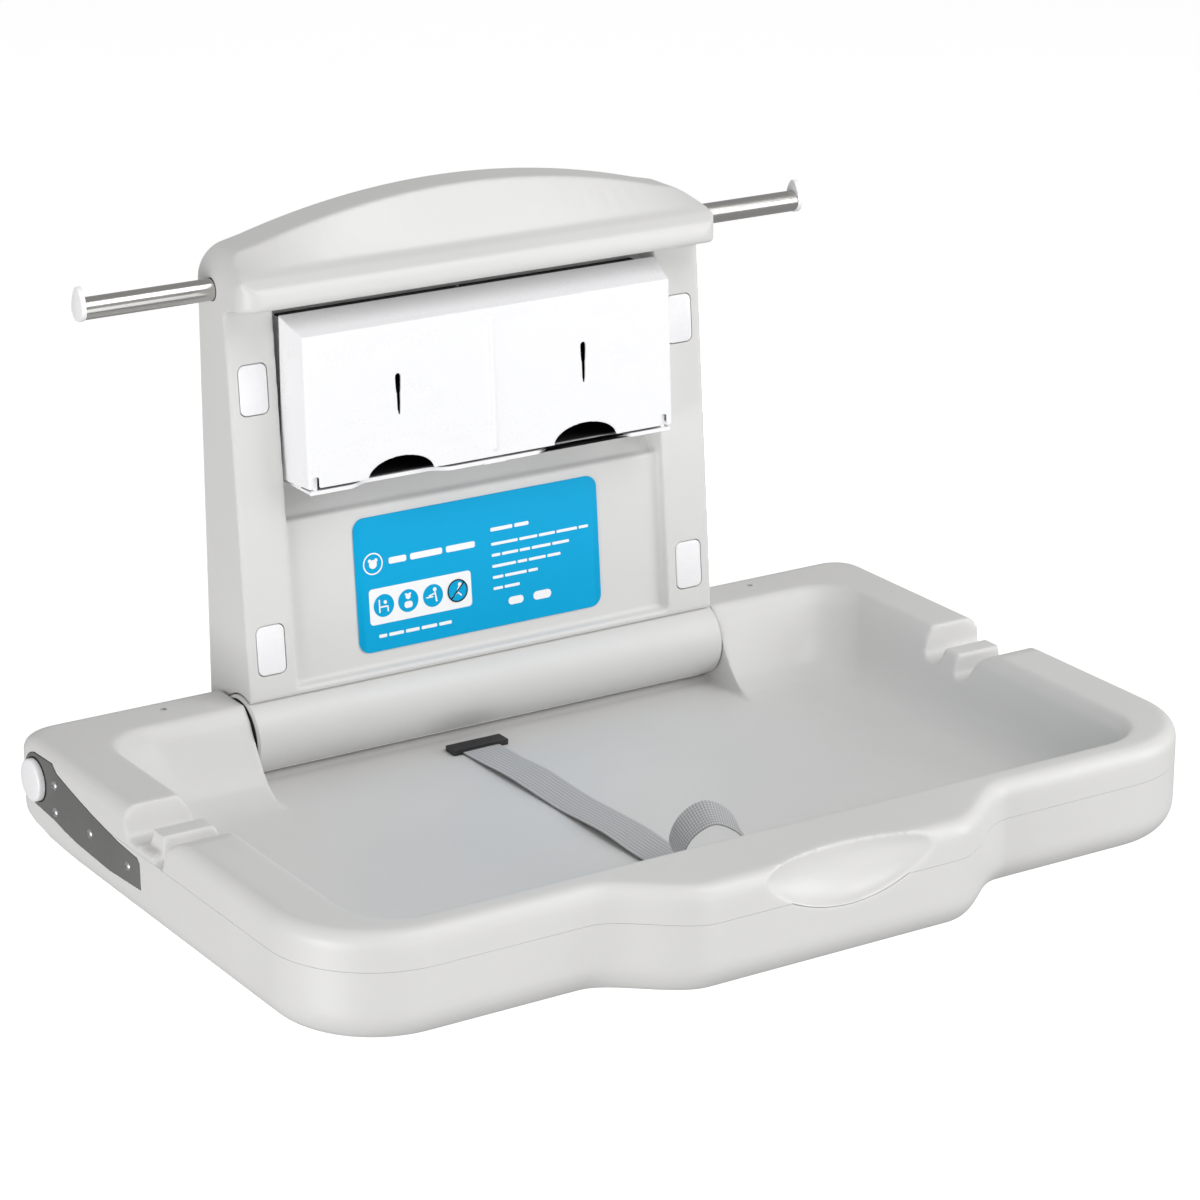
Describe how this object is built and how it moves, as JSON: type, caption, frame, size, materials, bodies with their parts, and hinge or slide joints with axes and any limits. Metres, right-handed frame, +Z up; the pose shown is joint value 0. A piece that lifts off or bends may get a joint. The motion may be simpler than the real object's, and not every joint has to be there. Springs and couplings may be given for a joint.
{
  "type": "fold-down changing table",
  "caption": "Wall-mounted changing table: deep fold-down tray with safety strap, on a wall unit with liner dispenser and bag bar.",
  "frame": {"origin": "centre of the wall plate's rear face, on the wall", "axes": "+Y into the wall, +Z up, +X to the right as seen by a person who faces the wall; tray open"},
  "size_m": [0.894, 0.622, 0.526],
  "materials": {
    "body_plastic": "fine satin, moulded",
    "tray_plastic": "fine satin, moulded",
    "white_plastic": "semi-gloss",
    "black_plastic": "satin",
    "label_film": "satin film",
    "brushed_steel": "polished along its length",
    "zinc_steel": "zinc plated",
    "grey_paint": "satin",
    "webbing": "woven"
  },
  "bodies": {
    "wall_unit": {"wall_plate": "zinc_steel", "unit_housing": "body_plastic", "wall_screw_upper_left": "zinc_steel", "wall_screw_upper_right": "zinc_steel", "wall_screw_lower_left": "zinc_steel", "wall_screw_lower_right": "zinc_steel", "label_plate": "label_film", "bag_bar": "brushed_steel", "bag_bar_cap_left": "white_plastic", "bag_bar_cap_right": "white_plastic", "dispenser_base": "white_plastic", "cover_pin_left": "zinc_steel", "cover_pin_right": "zinc_steel", "hinge_roll": "body_plastic", "hinge_bush_left": "black_plastic", "hinge_damper_left": "zinc_steel", "hinge_thrust_ring_left": "black_plastic", "hinge_bush_right": "black_plastic", "hinge_damper_right": "zinc_steel", "hinge_thrust_ring_right": "black_plastic"},
    "tray": {"tray_top": "tray_plastic", "tray_bottom": "tray_plastic", "hinge_shaft": "zinc_steel", "strap_long": "webbing", "strap_short": "webbing", "strap_anchor_rear": "black_plastic", "strap_anchor_front": "black_plastic", "buckle_socket": "black_plastic", "hinge_arm_left": "grey_paint", "hinge_cap_left": "white_plastic", "arm_screw_left_1": "zinc_steel", "arm_screw_left_2": "zinc_steel", "arm_screw_left_3": "zinc_steel", "arm_screw_left_4": "zinc_steel", "hinge_arm_right": "grey_paint", "hinge_cap_right": "white_plastic", "arm_screw_right_1": "zinc_steel", "arm_screw_right_2": "zinc_steel", "arm_screw_right_3": "zinc_steel", "arm_screw_right_4": "zinc_steel"},
    "buckle_plug": {"buckle_plug": "black_plastic"},
    "dispenser_cover": {"dispenser_cover": "white_plastic"},
    "screw_cover_upper_left": {"screw_cover_upper_left": "white_plastic"},
    "screw_cover_upper_right": {"screw_cover_upper_right": "white_plastic"},
    "screw_cover_lower_left": {"screw_cover_lower_left": "white_plastic"},
    "screw_cover_lower_right": {"screw_cover_lower_right": "white_plastic"}
  },
  "joints": [
    {"name": "tray_fold", "type": "hinge", "parent": "wall_unit", "child": "tray", "pos_m": [0, -0.057, -0.172], "axis": [-1, 0, 0], "range_deg": [0, 90]},
    {"name": "cover_tip", "type": "hinge", "parent": "wall_unit", "child": "dispenser_cover", "pos_m": [0, -0.0845, 0.059], "axis": [-1, 0, 0], "range_deg": [-65, 0]},
    {"name": "buckle_release", "type": "slide", "parent": "tray", "child": "buckle_plug", "axis": [0, 1, 0], "range_m": [0, 0.018]},
    {"name": "cover_pull_upper_left", "type": "slide", "parent": "wall_unit", "child": "screw_cover_upper_left", "axis": [0, -1, 0], "range_m": [0, 0.008]},
    {"name": "cover_pull_upper_right", "type": "slide", "parent": "wall_unit", "child": "screw_cover_upper_right", "axis": [0, -1, 0], "range_m": [0, 0.008]},
    {"name": "cover_pull_lower_left", "type": "slide", "parent": "wall_unit", "child": "screw_cover_lower_left", "axis": [0, -1, 0], "range_m": [0, 0.008]},
    {"name": "cover_pull_lower_right", "type": "slide", "parent": "wall_unit", "child": "screw_cover_lower_right", "axis": [0, -1, 0], "range_m": [0, 0.008]}
  ]
}
